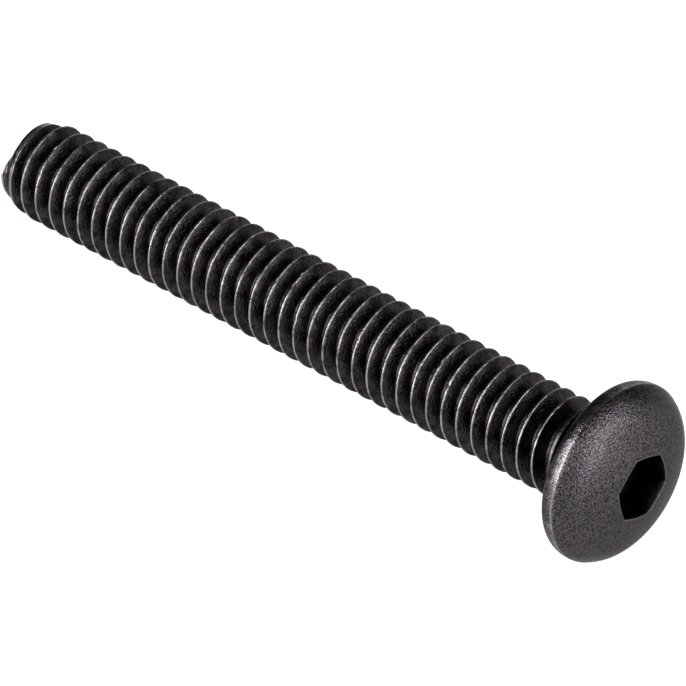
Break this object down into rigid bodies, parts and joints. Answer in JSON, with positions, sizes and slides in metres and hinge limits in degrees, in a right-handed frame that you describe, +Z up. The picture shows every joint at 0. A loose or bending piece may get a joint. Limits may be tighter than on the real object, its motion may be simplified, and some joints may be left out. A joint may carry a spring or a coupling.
{
  "type": "button head screw",
  "caption": "Fully threaded machine screw in black steel with a low domed button head and a hexagon socket, lying on its rim and its point.",
  "frame": {"origin": "centre of the bearing face under the head", "axes": "+Z up, away from the surface that the screw lies on; the screw lies along X with its head towards +X, and its axis climbs about 3 degrees towards the head"},
  "size_m": [0.0336, 0.0076, 0.0076],
  "materials": {
    "black_oxide_steel": "black oxide, matt and slightly grainy on the head, semi-gloss on the thread"
  },
  "bodies": {
    "root": {"button_head_screw": "black_oxide_steel"}
  },
  "joints": []
}
